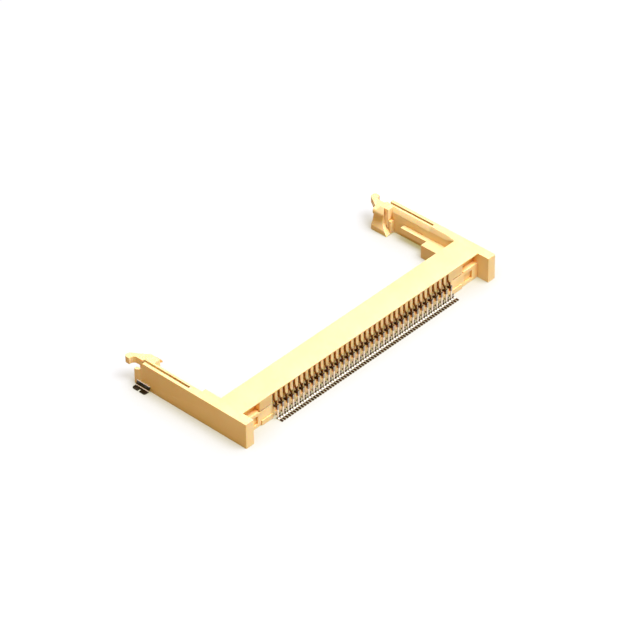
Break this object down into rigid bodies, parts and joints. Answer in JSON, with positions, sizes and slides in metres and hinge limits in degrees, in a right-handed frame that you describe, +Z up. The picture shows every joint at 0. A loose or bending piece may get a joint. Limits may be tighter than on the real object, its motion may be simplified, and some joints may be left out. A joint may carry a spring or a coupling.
{
  "type": "memory module socket",
  "caption": "Low right-angle surface-mount socket for a small-outline memory module: a U-shaped moulding with a row of bent contacts and two springy side latches.",
  "frame": {"origin": "centre of the bar's underside, on the board's surface", "axes": "+X along the contact row, +Y towards the module side, +Z up from the board"},
  "size_m": [0.0666, 0.0289, 0.0052],
  "materials": {
    "housing_plastic": "matte natural moulded polymer",
    "contact_metal": "plated, bright",
    "hold_down_metal": "tinned, dull with bright edges"
  },
  "bodies": {
    "housing": {"housing": "housing_plastic", "hold_down_left": "hold_down_metal", "hold_down_right": "hold_down_metal", "contact_pair_01": "contact_metal", "contact_pair_02": "contact_metal", "contact_pair_03": "contact_metal", "contact_pair_04": "contact_metal", "contact_pair_05": "contact_metal", "contact_pair_06": "contact_metal", "contact_pair_07": "contact_metal", "contact_pair_08": "contact_metal", "contact_pair_09": "contact_metal", "contact_pair_10": "contact_metal", "contact_pair_11": "contact_metal", "contact_pair_12": "contact_metal", "contact_pair_13": "contact_metal", "contact_pair_14": "contact_metal", "contact_pair_15": "contact_metal", "contact_pair_16": "contact_metal", "contact_pair_17": "contact_metal", "contact_pair_18": "contact_metal", "contact_pair_19": "contact_metal", "contact_pair_20": "contact_metal", "contact_pair_21": "contact_metal", "contact_pair_22": "contact_metal", "contact_pair_23": "contact_metal", "contact_pair_24": "contact_metal", "contact_pair_25": "contact_metal", "contact_pair_26": "contact_metal", "contact_pair_27": "contact_metal", "contact_pair_28": "contact_metal", "contact_pair_29": "contact_metal", "contact_pair_30": "contact_metal", "contact_pair_31": "contact_metal", "contact_pair_32": "contact_metal", "contact_pair_33": "contact_metal", "contact_pair_34": "contact_metal", "contact_pair_35": "contact_metal", "contact_pair_36": "contact_metal"},
    "latch_left": {"latch_left": "housing_plastic"},
    "latch_right": {"latch_right": "housing_plastic"}
  },
  "joints": [
    {"name": "latch_left_flex", "type": "hinge", "parent": "housing", "child": "latch_left", "pos_m": [-0.03085, 0.00865, 0], "axis": [0, 0, 1], "range_deg": [0, 2], "stiffness_Nm_per_rad": 0.7},
    {"name": "latch_right_flex", "type": "hinge", "parent": "housing", "child": "latch_right", "pos_m": [0.03085, 0.00865, 0], "axis": [0, 0, -1], "range_deg": [0, 2], "stiffness_Nm_per_rad": 0.7}
  ]
}
